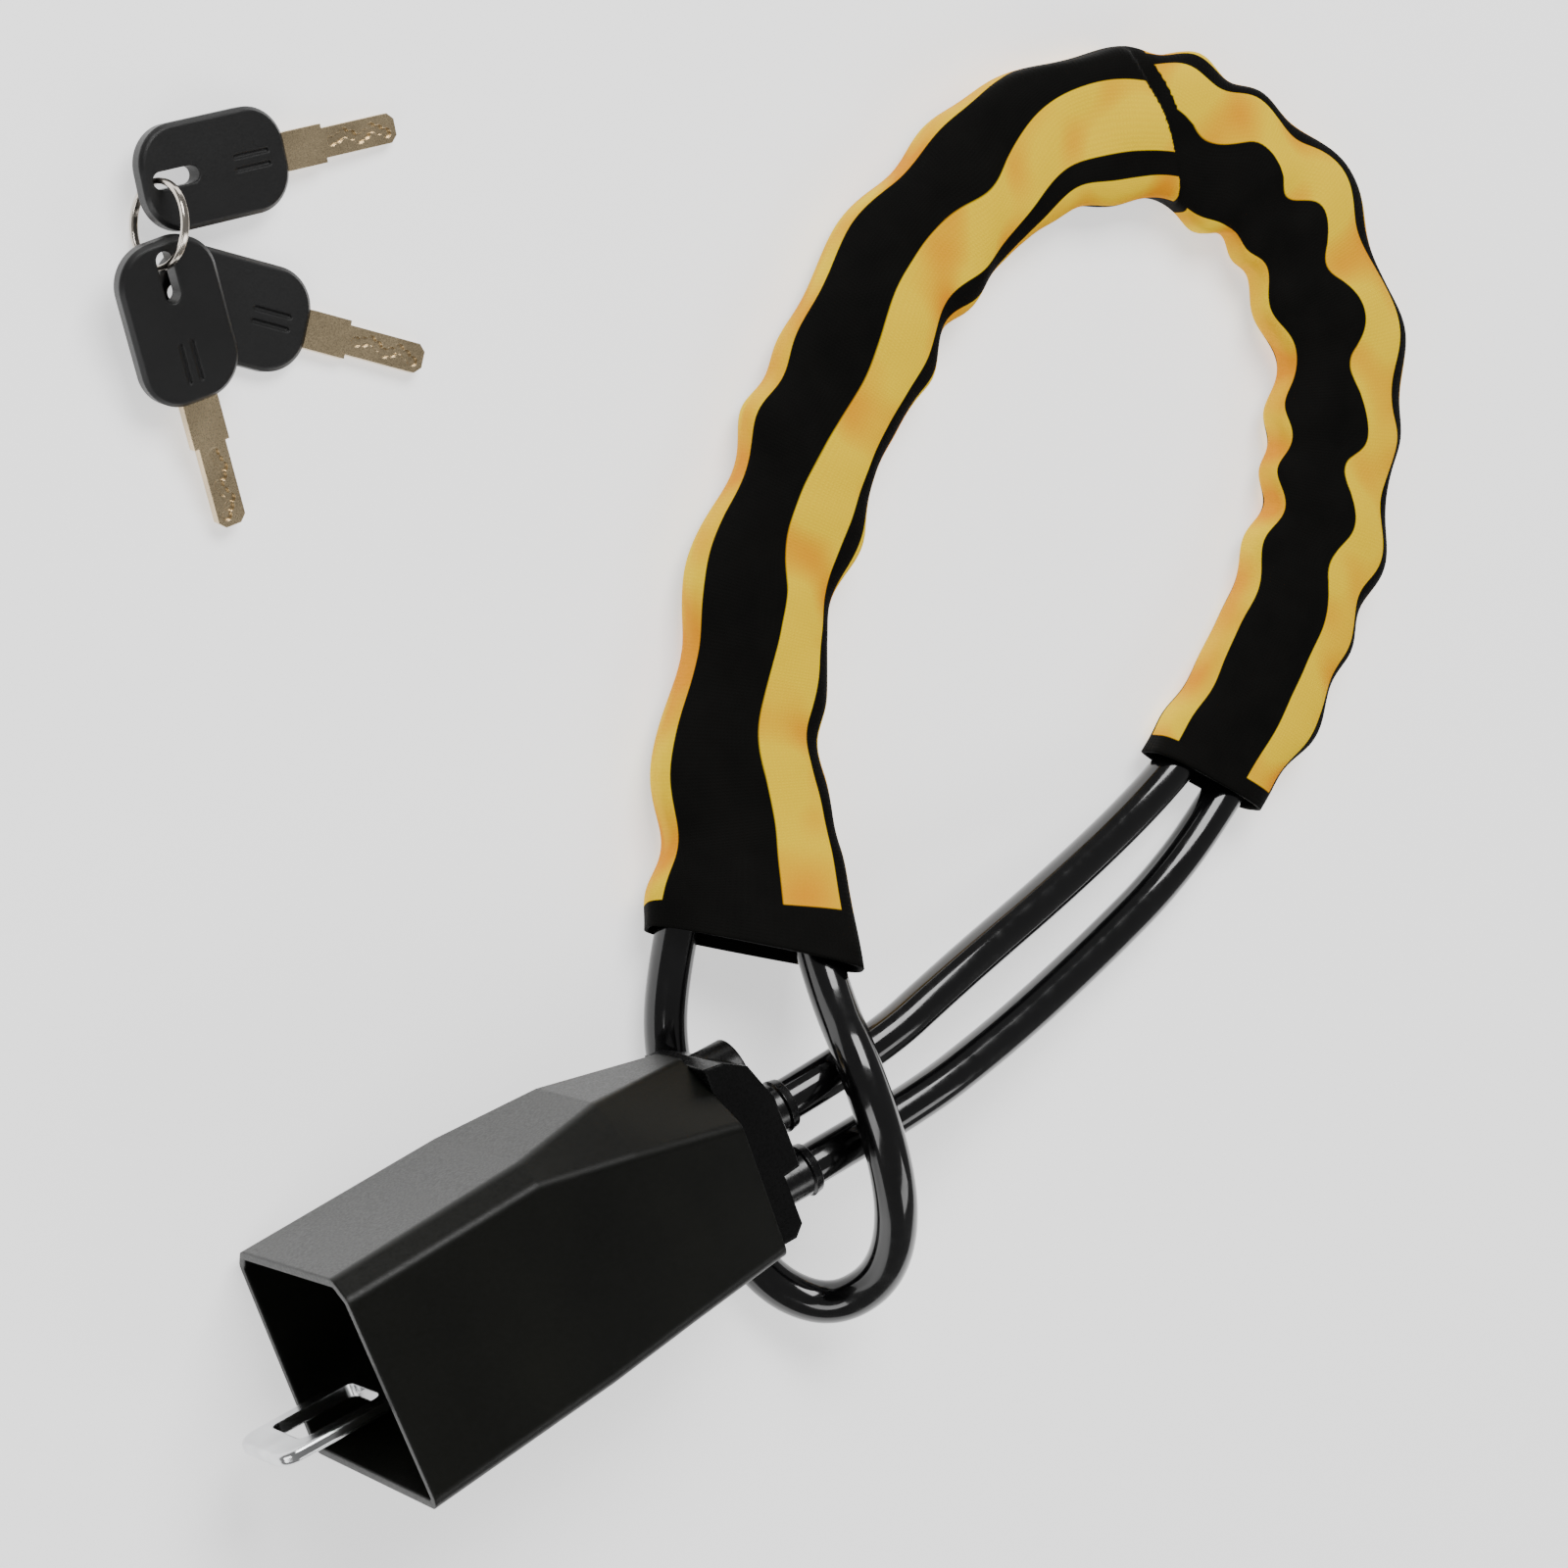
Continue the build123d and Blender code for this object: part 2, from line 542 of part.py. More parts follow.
def key_plane(spot, heading, pitch):
    """The key's own plane: origin at its ring slot, X towards the tip, Z up through the head."""
    turn, dip = radians(heading), radians(pitch)
    ahead = (cos(turn) * cos(dip), sin(turn) * cos(dip), -sin(dip))
    return Plane(origin=spot, x_dir=ahead, z_dir=(cos(turn) * sin(dip), sin(turn) * sin(dip), cos(dip)))


GROOVE_Y = (0, 0.4, 1.1, 0.3, -0.8, -0.2, 0.9, 0.1, -0.9)
BLADE_OUTLINE = (
    (10, -3.6), (29, -4.25), (SHANK_X, -4.25), (SHANK_X, -3.25), (TIP_X - 1.5, -3.25), (TIP_X, -1.8),
    (TIP_X, 1.8), (TIP_X - 1.5, 3.25), (SHANK_X, 3.25), (SHANK_X, 4.25), (29, 4.25), (10, 3.6),
)

for number, (spot, heading, pitch) in KEYS.items():
    place = key_plane(spot, heading, pitch)
    with BuildPart() as key_blade:
        with BuildSketch(place.offset(-BLADE_T / 2)):
            Polygon(*BLADE_OUTLINE, align=None)
        extrude(amount=BLADE_T)
        for side in (-1, 1):
            with BuildSketch(place.offset(side * BLADE_T / 2)):
                for step in range(9):
                    with Locations((SHANK_X + 2 + 1.75 * step, GROOVE_Y[step])):
                        Circle(1.15)
            extrude(amount=-side * 0.7, mode=Mode.SUBTRACT)
    save(key_blade.part, f"key_blade_{number}")
    with BuildPart() as key_head:
        with BuildSketch(place.offset(-KEY_T / 2)):
            with Locations(((HEAD_X[0] + HEAD_X[1]) / 2, 0)):
                RectangleRounded(HEAD_X[1] - HEAD_X[0], HEAD_W, HEAD_CORNER)
        extrude(amount=KEY_T)
        chamfer(key_head.faces().filter_by(lambda f: abs(f.normal_at().dot(place.z_dir)) > 0.9).edges(), 0.9)
        with BuildSketch(place.offset(-KEY_T / 2)):
            SlotOverall(11.5, 3.8)
        extrude(amount=KEY_T, mode=Mode.SUBTRACT)
        with BuildSketch(place.offset(-BLADE_T / 2 - FIT)):
            with Locations(((10 + SHANK_X) / 2, 0)):
                Rectangle(SHANK_X - 10 + 2 * FIT, 8.7)
        extrude(amount=BLADE_T + 2 * FIT, mode=Mode.SUBTRACT)
        for side in (-1, 1):
            with BuildSketch(place.offset(side * KEY_T / 2)):
                with Locations((19, 1.4), (19, -1.4)):
                    SlotOverall(9, 0.9)
            extrude(amount=-side * 0.5, mode=Mode.SUBTRACT)
    save(key_head.part, f"key_head_{number}")

ring_ahead = Vector(cos(radians(RING_HEADING)), sin(radians(RING_HEADING)), 0)
ring_axis = Vector(0, 0, 1).cross(ring_ahead).rotate(Axis((0, 0, 0), tuple(ring_ahead)), RING_LEAN)
with BuildPart() as key_ring:
    with BuildSketch(Plane(origin=RING_CENTRE, x_dir=ring_ahead, z_dir=ring_ahead.cross(ring_axis))):
        with Locations((RING_R, 0)):
            RectangleRounded(1.3, 1.8, 0.5)
    revolve(axis=Axis(RING_CENTRE, tuple(ring_axis)))
save(key_ring.part, "key_ring")
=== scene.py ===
from math import cos, pi, sin

import bmesh
import bpy
from mathutils import Matrix, Vector, noise


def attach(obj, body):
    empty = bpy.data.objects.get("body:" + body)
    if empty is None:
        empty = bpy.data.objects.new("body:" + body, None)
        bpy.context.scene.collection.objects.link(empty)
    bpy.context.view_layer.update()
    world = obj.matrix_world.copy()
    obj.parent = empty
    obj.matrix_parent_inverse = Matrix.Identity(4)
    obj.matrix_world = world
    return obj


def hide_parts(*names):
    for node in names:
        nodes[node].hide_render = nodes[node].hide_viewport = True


# The visual model of a steering-wheel and seat-belt cable lock, in metres, in the frame of its CAD model:
# +Z up from the table, +X from the housing's mouth to its cable end, +Y towards the cable ring.

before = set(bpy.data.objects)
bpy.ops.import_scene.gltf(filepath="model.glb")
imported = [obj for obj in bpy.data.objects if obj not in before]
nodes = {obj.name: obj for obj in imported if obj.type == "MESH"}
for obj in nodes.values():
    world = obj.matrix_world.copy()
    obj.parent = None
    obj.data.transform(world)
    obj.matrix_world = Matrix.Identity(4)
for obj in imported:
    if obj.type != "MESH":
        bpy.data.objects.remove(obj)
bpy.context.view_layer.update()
scene = bpy.context.scene
MM = 0.001

# ---- camera: high over the housing's mouth end, looking down on the table ----
CAMERA_SPOT = (-0.41432, 0.38375, 1.06306)
CAMERA_RIGHT = (0.80348, -0.33463, 0.49239)
CAMERA_UP = (0.4176, 0.90627, -0.06553)
CAMERA_BACK = (-0.42431, 0.25827, 0.8679)
CAMERA_LENS = 122.8

camera_data = bpy.data.cameras.new("camera")
camera_data.lens = CAMERA_LENS
camera_data.clip_start = 0.05
camera = bpy.data.objects.new("camera", camera_data)
turned = Matrix((CAMERA_RIGHT, CAMERA_UP, CAMERA_BACK)).transposed()
camera.matrix_world = Matrix.Translation(CAMERA_SPOT) @ turned.to_4x4()
scene.collection.objects.link(camera)
scene.camera = camera

# ---- the cable: one jacketed rope, out of one bushing, round the ring and the eye, and into the other ----
CABLE_D = 0.010
ROUTE = [
    (0.040, 0.009, 0.0265), (0.086, 0.009, 0.0265), (0.119, 0.0155, 0.023), (0.155, 0.020, 0.0165),
    (0.185, 0.025, 0.0105), (0.207, 0.032, 0.008), (0.234, 0.0485, 0.0075), (0.257, 0.074, 0.0075),
    (0.273, 0.1055, 0.0075), (0.2715, 0.1375, 0.0075), (0.251, 0.162, 0.0075), (0.220, 0.172, 0.0075),
    (0.187, 0.1635, 0.0075), (0.1565, 0.1435, 0.0075), (0.127, 0.1175, 0.0075), (0.107, 0.089, 0.0075),
    (0.097, 0.060, 0.010), (0.086, 0.028, 0.024), (0.0795, 0.011, 0.040), (0.078, -0.014, 0.040),
    (0.077, -0.0315, 0.031), (0.073, -0.042, 0.0215), (0.0645, -0.045, 0.0125), (0.056, -0.037, 0.007),
    (0.051, -0.022, 0.0054), (0.0496, -0.005, 0.0054), (0.0498, 0.012, 0.0054), (0.052, 0.029, 0.0056),
    (0.060, 0.045, 0.0066), (0.076, 0.067, 0.0075), (0.0935, 0.097, 0.0075), (0.117, 0.127, 0.0075),
    (0.1475, 0.1545, 0.0075), (0.181, 0.1765, 0.0075), (0.220, 0.186, 0.0075), (0.259, 0.174, 0.0075),
    (0.2845, 0.1425, 0.0075), (0.287, 0.1025, 0.0075), (0.269, 0.066, 0.0075), (0.2425, 0.0375, 0.0075),
    (0.214, 0.0195, 0.008), (0.188, 0.007, 0.0105), (0.158, 0.001, 0.016), (0.125, -0.004, 0.022),
    (0.090, -0.0072, 0.0265), (0.040, -0.0072, 0.0265),
]
cable_curve = bpy.data.curves.new("cable", "CURVE")
cable_curve.dimensions = "3D"
cable_curve.bevel_depth = CABLE_D / 2
cable_curve.bevel_resolution = 10
cable_curve.resolution_u = 14
cable_line = cable_curve.splines.new("NURBS")
cable_line.points.add(len(ROUTE) - 1)
for point, spot in zip(cable_line.points, ROUTE):
    point.co = (*spot, 1.0)
cable_line.order_u = 3
cable_line.use_endpoint_u = True
cable_line.use_smooth = True
cable = bpy.data.objects.new("cable", cable_curve)
scene.collection.objects.link(cable)


# ---- material kit ----
class Shade:
    """A new Principled material and short ways to add nodes to it."""

    def __init__(self, name, rough=0.5, metal=0.0, coat=0.0):
        self.material = bpy.data.materials.new(name)
        self.material.use_nodes = True
        self.tree = self.material.node_tree
        self.main = self.tree.nodes["Principled BSDF"]
        self.put(self.main, "Roughness", rough)
        self.put(self.main, "Metallic", metal)
        self.put(self.main, "Coat Weight", coat)

    def put(self, node, socket, value):
        """Sets a socket to a constant, or links an output to it."""
        target = node.inputs[socket]
        if isinstance(value, bpy.types.NodeSocket):
            self.tree.links.new(value, target)
        else:
            target.default_value = value

    def add(self, kind, **sockets):
        node = self.tree.nodes.new(kind)
        for socket, value in sockets.items():
            self.put(node, socket.replace("_", " "), value)
        return node

    def where(self, scale=1.0):
        """Object coordinates in millimetres, times scale."""
        spots = self.add("ShaderNodeTexCoord").outputs["Object"]
        node = self.add("ShaderNodeVectorMath")
        node.operation = "SCALE"
        self.put(node, "Vector", spots)
        self.put(node, "Scale", scale / MM)
        return node.outputs["Vector"]

    def noise(self, per_mm, detail=3.0, vector=None):
        """Noise whose grains are about 1 / per_mm millimetres across."""
        node = self.add("ShaderNodeTexNoise", Scale=per_mm, Detail=detail)
        self.put(node, "Vector", vector or self.where())
        return node.outputs["Fac"]

    def attribute(self, name):
        """A number stored on the mesh's points."""
        node = self.add("ShaderNodeAttribute")
        node.attribute_name = name
        return node.outputs["Fac"]

    def math(self, operation, a, b=0.0):
        node = self.add("ShaderNodeMath")
        node.operation = operation
        self.put(node, 0, a)
        self.put(node, 1, b)
        return node.outputs[0]

    def span(self, value, low, high, start=0.0, end=1.0):
        """Maps low..high to start..end, clamped."""
        node = self.add("ShaderNodeMapRange", Value=value)
        self.put(node, "From Min", low)
        self.put(node, "From Max", high)
        self.put(node, "To Min", start)
        self.put(node, "To Max", end)
        return node.outputs["Result"]

    def mix(self, factor, a, b):
        """Mixes two colours."""
        node = self.tree.nodes.new("ShaderNodeMix")
        node.data_type = "RGBA"
        self.put(node, 0, factor)
        self.put(node, 6, a)
        self.put(node, 7, b)
        return node.outputs[2]

    def bump(self, height, strength, depth_mm, edge_mm=0.0):
        """Bumps the surface, over rounded-looking edges where edge_mm is given."""
        node = self.add("ShaderNodeBump", Strength=strength, Distance=depth_mm * MM, Height=height)
        if edge_mm:
            bevel = self.add("ShaderNodeBevel", Radius=edge_mm * MM)
            self.put(node, "Normal", bevel.outputs["Normal"])
        self.put(self.main, "Normal", node.outputs["Normal"])


def metal(name, colour, rough, spread=0.1, edge=0.3, metallic=1.0, grain=4.0):
    """Bare or plated metal, with uneven roughness and a slight tint change."""
    shade = Shade(name, metal=metallic)
    coarse = shade.noise(0.12)
    fine = shade.noise(grain, 4.0)
    dark = tuple(0.78 * c for c in colour)
    shade.put(shade.main, "Base Color", shade.mix(shade.span(coarse, 0.35, 0.65), (*dark, 1), (*colour, 1)))
    shade.put(shade.main, "Roughness", shade.span(fine, 0.3, 0.7, max(0.04, rough - spread), rough + spread))
    shade.bump(fine, 0.12, 0.03, edge)
    return shade.material


def coated(name, colour, light, rough, edge=0.9, orange_peel=0.25):
    """Powder coat: satin black with a fine orange-peel surface."""
    shade = Shade(name)
    shade.put(shade.main, "Specular IOR Level", 0.22)
    coarse = shade.noise(0.03, 2.0)
    fine = shade.noise(1.6, 4.0)
    shade.put(shade.main, "Base Color", shade.mix(shade.span(coarse, 0.3, 0.7), (*colour, 1), (*light, 1)))
    shade.put(shade.main, "Roughness", shade.span(fine, 0.3, 0.7, rough - 0.06, rough + 0.06))
    shade.bump(fine, orange_peel, 0.05, edge)
    return shade.material


def plastic(name, colour, rough, grain=2.5, strength=0.2, edge=0.3, coat=0.0):
    """Moulded plastic with a fine grain."""
    shade = Shade(name, coat=coat)
    coarse = shade.noise(0.08, 2.0)
    fine = shade.noise(grain, 4.0)
    lighter = tuple(1.5 * c for c in colour)
    shade.put(shade.main, "Base Color", shade.mix(shade.span(coarse, 0.35, 0.7), (*colour, 1), (*lighter, 1)))
    shade.put(shade.main, "Roughness", shade.span(fine, 0.3, 0.7, rough - 0.05, rough + 0.07))
    shade.bump(fine, strength, 0.04, edge)
    return shade.material


# the cloth's colours, and the widths over which a stripe's side and end fade, in millimetres
YELLOW = (0.90, 0.61, 0.0, 1)
# a deeper orange-yellow, painted in as shade where the cloth lies deep in a ruffle's fold
YELLOW_PAINTED_FOLD_SHADE = (0.78, 0.29, 0.0, 1)
YELLOW_IN_WEAVE = (0.7, 0.33, 0.0, 1)
BLACK_LOW = (0.0015, 0.0015, 0.0013, 1)
BLACK_HIGH = (0.0055, 0.0052, 0.0045, 1)
STRIPE_SIDE_FADE = 0.12
STRIPE_END_FADE = 0.15
THREADS = dict(Scale=0.42, Distortion=0.4)


def stripe_mask(shade, around, along):
    """1 on the yellow stripes, 0 on the black between them and on the hems, and 0 in the fold's crease, where
    the stripes are blacked out as painted shade.
    """
    # ten whole turns keep the remainder positive, and the half turn puts the cloth's middle line at zero
    shifted = shade.math("ADD", around, 10.5 * CLOTH_ROUND)
    wrapped = shade.math("MODULO", shifted, CLOTH_ROUND)
    off = shade.math("ABSOLUTE", shade.math("SUBTRACT", wrapped, CLOTH_ROUND / 2))
    mask = None
    for middle in STRIPE_MIDDLES:
        near = shade.math("ABSOLUTE", shade.math("SUBTRACT", off, middle))
        inner, outer = STRIPE_W / 2 - STRIPE_SIDE_FADE, STRIPE_W / 2 + STRIPE_SIDE_FADE
        band = shade.span(near, inner, outer, 1.0, 0.0)
        mask = band if mask is None else shade.math("MAXIMUM", mask, band)
    for hem, inward in ((HEM_RIGHT, 1.0), (SLEEVE_LENGTH - HEM_LEFT, -1.0)):
        inside = shade.math("MULTIPLY", shade.math("SUBTRACT", along, hem), inward)
        mask = shade.math("MULTIPLY", mask, shade.span(inside, -STRIPE_END_FADE, STRIPE_END_FADE))
    # painted shade: the stripes are blacked out along the fold's crease
    crease_shade = shade.attribute("crease_shade")
    return shade.math("MULTIPLY", mask, shade.span(crease_shade, 0.3, 0.5, 1.0, 0.0))


def sleeve_cloth():
    """Black woven nylon with yellow stripes, with painted shade in the folds and the crease. UV is in
    millimetres: round the sleeve, then along it.
    """
    shade = Shade("sleeve_cloth", rough=0.75)
    uv = shade.add("ShaderNodeUVMap")
    uv.uv_map = "cloth"
    parts = shade.add("ShaderNodeSeparateXYZ", Vector=uv.outputs["UV"])
    stripes = stripe_mask(shade, parts.outputs["X"], parts.outputs["Y"])
    # painted shade: the stripes turn deeper orange where the cloth lies deep in a fold
    fold_shade = shade.span(shade.attribute("fold"), 0.5, 1.15)
    yellow_and_fold_shade = shade.mix(fold_shade, YELLOW, YELLOW_PAINTED_FOLD_SHADE)
    black = shade.mix(shade.noise(0.1, 3.0), BLACK_LOW, BLACK_HIGH)
    warp = shade.add("ShaderNodeTexWave", Vector=uv.outputs["UV"], **THREADS)
    weft = shade.add("ShaderNodeTexWave", Vector=uv.outputs["UV"], **THREADS)
    weft.bands_direction = "Y"
    weave = shade.math("MULTIPLY", warp.outputs["Fac"], weft.outputs["Fac"])
    woven = shade.mix(shade.span(weave, 0.0, 0.6, 0.14, 0.0), yellow_and_fold_shade, YELLOW_IN_WEAVE)
    shade.put(shade.main, "Base Color", shade.mix(stripes, black, woven))
    shade.put(shade.main, "Specular IOR Level", 0.06)
    grain = shade.math("ADD", weave, shade.math("MULTIPLY", shade.noise(0.9, 4.0), 0.8))
    shade.bump(grain, 0.35, 0.18)
    return shade.material


# ---- the cable's gloss jacket, and its seam-free skin ----
cable.data.materials.append(plastic("jacket_pvc", (0.0022, 0.0022, 0.0024), 0.13, 0.35, 0.05, 0.0, coat=0.3))
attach(cable, "lock")
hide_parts("cable_jacket", "cable_core")

# ---- the fabric sleeve: a gathered tube of cloth round both cable runs ----
# centre, half width, half thickness and outward direction, in millimetres, from the right mouth
STATIONS = [
    ((205, 23, 8.6), 17.0, 7.2, (0.65, -0.76, 0)),
    ((238, 43, 7.9), 17.0, 6.9, (0.65, -0.76, 0)),
    ((263, 70, 7.8), 17.0, 6.9, (0.82, -0.57, 0)),
    ((280, 104, 7.8), 17.0, 6.9, (0.98, -0.2, 0)),
    ((278, 140, 7.8), 17.0, 6.9, (0.93, 0.37, 0)),
    ((255, 168, 7.8), 17.0, 7.0, (0.56, 0.83, 0)),
    ((220, 179, 7.8), 17.2, 6.9, (0.03, 1, 0)),
    ((184, 170, 7.8), 17.2, 6.9, (-0.4, 0.92, 0)),
    ((152, 149, 7.8), 17.2, 6.9, (-0.61, 0.79, 0)),
    ((122, 122, 7.8), 17.2, 6.9, (-0.74, 0.68, 0)),
    ((100, 93, 7.9), 18.0, 7.0, (-0.86, 0.51, 0)),
    ((86.5, 63, 9.8), 21.0, 7.6, (-0.94, 0.31, -0.11)),
    ((76, 41, 16.4), 25.2, 8.6, (-0.74, 0.52, -0.42)),
]
CLOTH_ROUND = 92.0
STRIPE_W = 11.0
STRIPE_MIDDLES = (14.5, 31.5)
HEM_RIGHT = 4.5
HEM_LEFT = 9.0
RINGS = 460
AROUND = 96
CLOTH_T = 0.9

# the ruffles: their pitch from crest to crest, longer by a gain past the fold, and how far they stand out
RUFFLE = 23.0
RUFFLE_GAIN = 12.0
SLOW_RUFFLE = 41.0
RUFFLE_OUT = 2.2
RUFFLE_UP = 0.75
PUCKER_UP = 0.55

# the fold across the sleeve: its place from 0 to 1 along it, its slant, and the heights of its lip and dip
FOLD_AT = 0.43
FOLD_SLANT = 0.022
FOLD_LIP = 2.6
FOLD_DIP = 0.8

# the cloth's turn round the sleeve on each side of the fold, its change at the mouths and at the fold,
# and the waves in it with their pitches
TURN_RIGHT = 30.4
TURN_LEFT = 13.8
TURN_AT_MOUTHS = 2.8
TURN_AT_FOLD = 7.8
WAVE_RIGHT = 1.84
WAVE_RIGHT_PITCH = 25.0
WAVE_LEFT = 1.0
WAVE_LEFT_PITCH = 58.0


def spline(values, t):
    """A smooth line through values, t from 0 to 1."""
    place = t * (len(values) - 1)
    i = min(int(place), len(values) - 2)
    f = place - i
    p1, p2 = values[i], values[i + 1]
    p0 = values[i - 1] if i else p1 * 2 - p2
    p3 = values[i + 2] if i + 2 < len(values) else p2 * 2 - p1
    return 0.5 * ((p1 * 2) + (p2 - p0) * f + (p0 * 2 - p1 * 5 + p2 * 4 - p3) * f * f
                  + (p1 * 3 - p0 - p2 * 3 + p3) * f * f * f)


def smooth(low, high, x):
    """0 at low, 1 at high, and a smooth step between them."""
    t = max(0.0, min(1.0, (x - low) / (high - low)))
    return t * t * (3 - 2 * t)


centres = [Vector(s[0]) for s in STATIONS]
widths = [s[1] for s in STATIONS]
thicks = [s[2] for s in STATIONS]
sides = [Vector(s[3]).normalized() for s in STATIONS]
ring_spots = [spline(centres, i / (RINGS - 1)) for i in range(RINGS)]
ring_along = [0.0]
for before, after in zip(ring_spots, ring_spots[1:]):
    ring_along.append(ring_along[-1] + (after - before).length)
SLEEVE_LENGTH = ring_along[-1]


def section(angle):
    """A point of the unit section: flat on top and below, round at both sides."""
    c, s = cos(angle), sin(angle)
    x = abs(c) ** 0.8 * (1 if c > 0 else -1)
    y = abs(s) ** 0.55 * (1 if s > 0 else -1)
    return x, y


def cloth_turn(t, past, along, warp):
    """How far round, in millimetres, the cloth's middle line lies from the sleeve's outer edge."""
    if past < 0:
        quick_wave = WAVE_RIGHT * sin(2 * pi * (along / WAVE_RIGHT_PITCH + 0.5 * warp)) * smooth(0.0, 0.2, t)
        return TURN_RIGHT - TURN_AT_MOUTHS * smooth(0.16, 0.0, t) + quick_wave
    slow_wave = WAVE_LEFT * sin(2 * pi * (along / WAVE_LEFT_PITCH + 0.4 * warp)) * smooth(1.0, 0.85, t)
    turn = TURN_LEFT + TURN_AT_MOUTHS * smooth(0.70, 1.0, t) - TURN_AT_FOLD * smooth(0.56, 0.45, t)
    return turn + slow_wave


def ring_axes(i):
    """The sleeve's sideways and upward directions at ring i."""
    side = spline(sides, i / (RINGS - 1)).normalized()
    ahead = (ring_spots[min(i + 1, RINGS - 1)] - ring_spots[max(i - 1, 0)]).normalized()
    up = side.cross(ahead)
    if up.z < 0:
        up = -up
    return side, up.normalized()


def fold_lift(past, y):
    """The rise of the cloth that laps over at the fold, and the dip just before it."""
    if y <= -0.2:
        return 0.0
    lip = FOLD_LIP * smooth(-0.001, 0.004, past) * smooth(0.05, 0.006, past)
    dip = FOLD_DIP * smooth(-0.03, -0.002, past) if past < 0 else 0.0
    return (lip - dip) * (0.4 + 0.6 * max(0.0, y))


class Ring:
    """One ring of the sleeve's points, with each point's place round the cloth."""

    def __init__(self, i, phase):
        self.t = i / (RINGS - 1)
        self.along = ring_along[i]
        self.centre = ring_spots[i]
        self.side, self.up = ring_axes(i)
        self.width, self.thick = spline(widths, self.t), spline(thicks, self.t)
        self.calm = smooth(0.0, 0.06, self.t) * smooth(1.0, 0.93, self.t)
        self.phase = phase

    def point(self, j):
        """Point j: its place in millimetres, its painted fold shade from how deep it lies in a fold, its
        painted crease shade and its turn.
        """
        angle = 2 * pi * j / AROUND
        x, y = section(angle)
        warp = noise.noise(Vector((self.along / 46, x * 0.9, 3.1)))
        pucker = noise.noise(Vector((self.along / 9.0, angle * 1.3, 0.7)))
        quick = sin(2 * pi * (self.phase + 0.8 * warp) + 1.4 * x)
        slow = sin(2 * pi * self.along / SLOW_RUFFLE + 2.0 + 2.0 * x)
        proud = 0.55 * quick + 0.45 * slow
        edge = abs(x) ** 3
        outward = 1 if x > 0 else -1
        past = self.t - FOLD_AT - FOLD_SLANT * (x - 0.1)
        sideways = self.calm * edge * (RUFFLE_OUT * proud + 0.5) * outward
        lift = self.calm * (RUFFLE_UP * proud * (1 - 0.4 * edge) + PUCKER_UP * pucker)
        lift += fold_lift(past, y)
        upward = self.thick * y + (lift if y > 0 else -0.35 * lift)
        spot = self.centre + self.side * (self.width * x + sideways) + self.up * upward
        spot.z = max(spot.z, 0.45 + 0.25 * pucker)
        # painted shade: how deep the point lies in a ruffle's fold, which darkens the stripes there
        fold_shade = 0.5 - 0.45 * proud * (1 - 0.3 * edge) - 0.5 * pucker + 0.35 * edge
        # a band of painted shade along the fold's crease
        crease_shade = smooth(0.009, 0.005, abs(past + 0.003)) if y > -0.6 else 0.0
        turn = CLOTH_ROUND * j / AROUND - cloth_turn(self.t, past, self.along, warp)
        return spot, fold_shade, crease_shade, turn


def build_sleeve():
    """The sleeve's tube, with its cloth UV and its painted fold-shade and crease-shade amounts on its points.
    """
    mesh = bmesh.new()
    # per-point amounts of painted shade, in the ruffles' folds and in the fold's crease
    fold_shade_layer = mesh.verts.layers.float.new("fold")
    uv_layer = mesh.loops.layers.uv.new("cloth")
    crease_shade_layer = mesh.verts.layers.float.new("crease_shade")
    rings, turns = [], []
    phase = 0.0
    for i in range(RINGS):
        step = ring_along[i] - ring_along[i - 1] if i else 0.0
        phase += step / (RUFFLE + RUFFLE_GAIN * smooth(0.38, 0.52, i / (RINGS - 1)))
        ring = Ring(i, phase)
        verts, ring_turns = [], []
        for j in range(AROUND):
            spot, fold_shade, crease_shade, turn = ring.point(j)
            vert = mesh.verts.new(spot * MM)
            vert[fold_shade_layer] = fold_shade
            vert[crease_shade_layer] = crease_shade
            verts.append(vert)
            ring_turns.append(turn)
        rings.append(verts)
        turns.append(ring_turns)
    for i in range(RINGS - 1):
        for j in range(AROUND):
            k = (j + 1) % AROUND
            face = mesh.faces.new((rings[i][j], rings[i][k], rings[i + 1][k], rings[i + 1][j]))
            face.smooth = True
            wrap = CLOTH_ROUND if k == 0 else 0.0
            values = (
                (turns[i][j], ring_along[i]), (turns[i][k] + wrap, ring_along[i]),
                (turns[i + 1][k] + wrap, ring_along[i + 1]), (turns[i + 1][j], ring_along[i + 1]),
            )
            for loop, value in zip(face.loops, values):
                loop[uv_layer].uv = value
    bmesh.ops.recalc_face_normals(mesh, faces=mesh.faces)
    data = bpy.data.meshes.new("sleeve_fabric")
    mesh.to_mesh(data)
    mesh.free()
    piece = bpy.data.objects.new("sleeve_fabric", data)
    scene.collection.objects.link(piece)
    return piece


sleeve = build_sleeve()
sleeve.data.materials.append(sleeve_cloth())
shell = sleeve.modifiers.new("cloth_thickness", "SOLIDIFY")
shell.thickness = CLOTH_T * MM
shell.offset = -1.0
bpy.context.view_layer.objects.active = sleeve
sleeve.select_set(True)
bpy.ops.object.modifier_apply(modifier=shell.name)
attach(sleeve, "lock")
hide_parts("sleeve")

